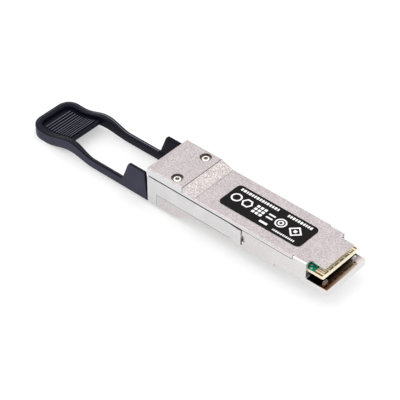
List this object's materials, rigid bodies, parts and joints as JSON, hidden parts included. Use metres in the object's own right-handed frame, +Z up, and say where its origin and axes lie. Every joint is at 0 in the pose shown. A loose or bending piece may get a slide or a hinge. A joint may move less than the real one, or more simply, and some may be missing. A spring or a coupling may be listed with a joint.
{
  "type": "transceiver loopback module",
  "caption": "Pluggable transceiver-format loopback module: two-part die-cast case, open-mouthed plug card, sprung side latch slider and a waved pull tab with a ribbed finger pad.",
  "frame": {"origin": "centre of the bottom of the whole module's bounding box, which is the level of the pull tab's lowest point; the body's flat underside is 4.4 mm above it", "axes": "+X is the direction in which the module is plugged in, towards the plug card; +Y is the module's left side; +Z is up, out of the labelled cover"},
  "size_m": [0.123, 0.0192, 0.0146],
  "materials": {
    "cast_upper": "satin",
    "cast_lower": "satin",
    "latch_steel": "satin",
    "screw_steel": "satin",
    "spring_steel": "satin",
    "tab_plastic": "satin",
    "label_film": "satin",
    "board_laminate": "gloss",
    "chip_package": "satin",
    "resistor_ceramic": "satin",
    "capacitor_ceramic": "satin",
    "pad_silicone": "matte",
    "gasket_foam": "matte"
  },
  "bodies": {
    "case": {"top_cover": "cast_upper", "bottom_housing": "cast_lower", "cover_screw_left": "screw_steel", "cover_screw_right": "screw_steel", "rating_label": "label_film", "circuit_board": "board_laminate", "microcontroller": "chip_package", "memory_chip": "chip_package", "voltage_regulator": "chip_package", "bulk_capacitor": "capacitor_ceramic", "load_resistor_1": "resistor_ceramic", "load_resistor_2": "resistor_ceramic", "load_resistor_3": "resistor_ceramic", "load_resistor_4": "resistor_ceramic", "coupling_capacitor_1": "capacitor_ceramic", "coupling_capacitor_2": "capacitor_ceramic", "coupling_capacitor_3": "capacitor_ceramic", "coupling_capacitor_4": "capacitor_ceramic", "coupling_capacitor_5": "capacitor_ceramic", "coupling_capacitor_6": "capacitor_ceramic", "coupling_capacitor_7": "capacitor_ceramic", "coupling_capacitor_8": "capacitor_ceramic", "thermal_pad": "pad_silicone", "emi_gasket_upper": "gasket_foam", "emi_gasket_lower": "gasket_foam", "return_spring_left": "spring_steel", "return_spring_right": "spring_steel"},
    "pull_latch": {"latch_slider": "latch_steel", "pull_tab": "tab_plastic"}
  },
  "joints": [
    {"name": "latch_pull", "type": "slide", "parent": "case", "child": "pull_latch", "axis": [-1, 0, 0], "range_m": [0, 0.002], "stiffness_N_per_m": 1200, "springref_m": -0.0015, "deforming": ["return_spring_left", "return_spring_right"]}
  ]
}
